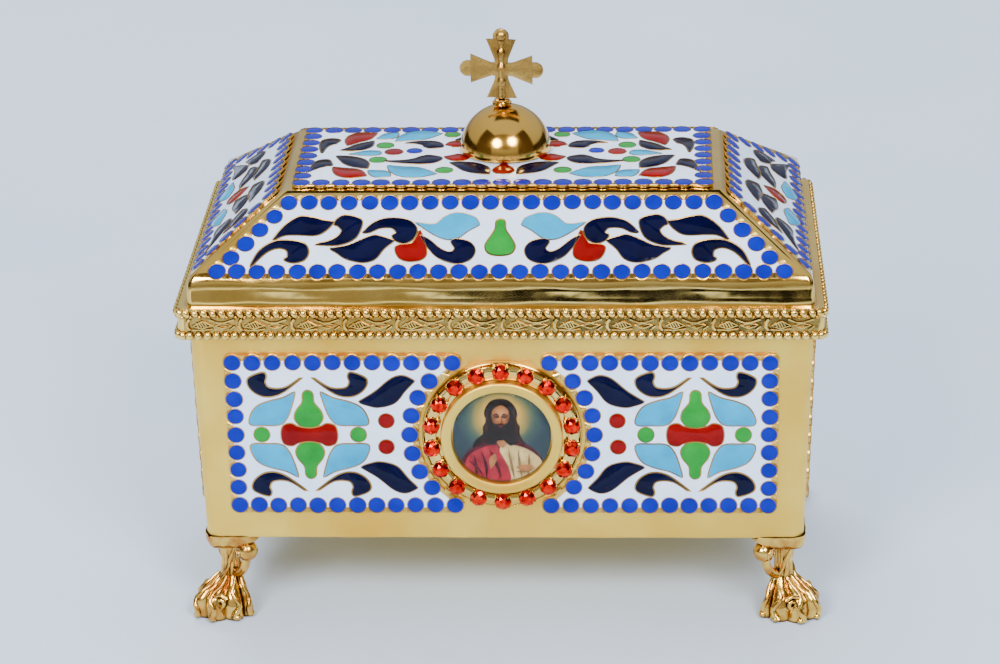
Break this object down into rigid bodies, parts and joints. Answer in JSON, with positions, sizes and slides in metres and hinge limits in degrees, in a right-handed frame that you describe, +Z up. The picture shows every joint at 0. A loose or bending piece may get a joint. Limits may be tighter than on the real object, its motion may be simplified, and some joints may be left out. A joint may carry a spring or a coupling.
{
  "type": "reliquary casket",
  "caption": "Gilded brass casket with a lift-off hipped lid, enamel plates, a stone-set round medallion, a domed cross finial and cast corner feet.",
  "frame": {"origin": "middle of the footprint on the surface the feet stand on", "axes": "+X along the length, +Y from the front with the medallion to the back, +Z up"},
  "size_m": [0.1774, 0.1058, 0.1584],
  "materials": {
    "gilt_brass": "gilded sheet, bright to satin",
    "cast_brass": "gilded casting, warm in the hollows",
    "enamel": "cloisonne enamel: white ground with blue, navy, turquoise, green and red cells between gilt wires",
    "red_stone": "cut and foil-backed",
    "picture": "printed picture",
    "clear_cover": "clear domed cover"
  },
  "bodies": {
    "root": {"box_body": "gilt_brass", "cross": "cast_brass", "dome": "gilt_brass", "finial_collar": "gilt_brass", "foot_back_left": "cast_brass", "foot_back_right": "cast_brass", "foot_front_left": "cast_brass", "foot_front_right": "cast_brass", "lid_band": "cast_brass", "lid_shell": "gilt_brass", "medallion_bezel": "gilt_brass", "medallion_flange": "gilt_brass", "picture_cover": "clear_cover", "picture_disc": "picture", "plate_back": "enamel", "plate_front_left": "enamel", "plate_front_right": "enamel", "plate_left": "enamel", "plate_right": "enamel", "plate_slope_back": "enamel", "plate_slope_front": "enamel", "plate_slope_left": "enamel", "plate_slope_right": "enamel", "plate_top": "enamel", "stone_01": "red_stone", "stone_02": "red_stone", "stone_03": "red_stone", "stone_04": "red_stone", "stone_05": "red_stone", "stone_06": "red_stone", "stone_07": "red_stone", "stone_08": "red_stone", "stone_09": "red_stone", "stone_10": "red_stone", "stone_11": "red_stone", "stone_12": "red_stone", "stone_13": "red_stone", "stone_14": "red_stone", "stone_15": "red_stone", "stone_16": "red_stone", "stone_17": "red_stone", "stone_18": "red_stone", "stone_settings": "gilt_brass"}
  },
  "joints": []
}
